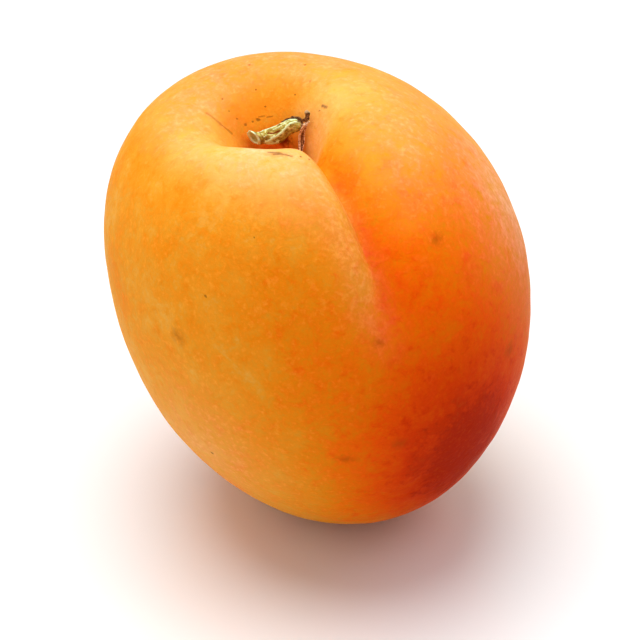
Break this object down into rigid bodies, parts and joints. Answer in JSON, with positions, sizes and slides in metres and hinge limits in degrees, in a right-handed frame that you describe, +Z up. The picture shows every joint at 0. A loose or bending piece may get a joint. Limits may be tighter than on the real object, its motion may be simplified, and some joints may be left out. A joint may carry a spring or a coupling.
{
  "type": "apricot",
  "caption": "Whole ripe apricot standing on a small flat spot, with a deep suture, a stem cavity and the dry stalk stub still in it.",
  "frame": {"origin": "middle of the flat spot that the fruit rests on", "axes": "+Z up from the table; -Y is the side seen in front, with the suture turned about 22 degrees from -Y towards +X"},
  "size_m": [0.0482, 0.0527, 0.0541],
  "materials": {
    "skin": "fine velvety skin, yellow-orange with a red-orange blush on the shaded cheek",
    "stalk_wood": "dry ribbed bark, olive with cream ridges and brown furrows",
    "bud_scale": "dry, dull, dark brown"
  },
  "bodies": {
    "root": {"fruit": "skin", "stalk": "stalk_wood", "bud_scale_upper": "bud_scale", "bud_scale_back": "bud_scale"}
  },
  "joints": []
}
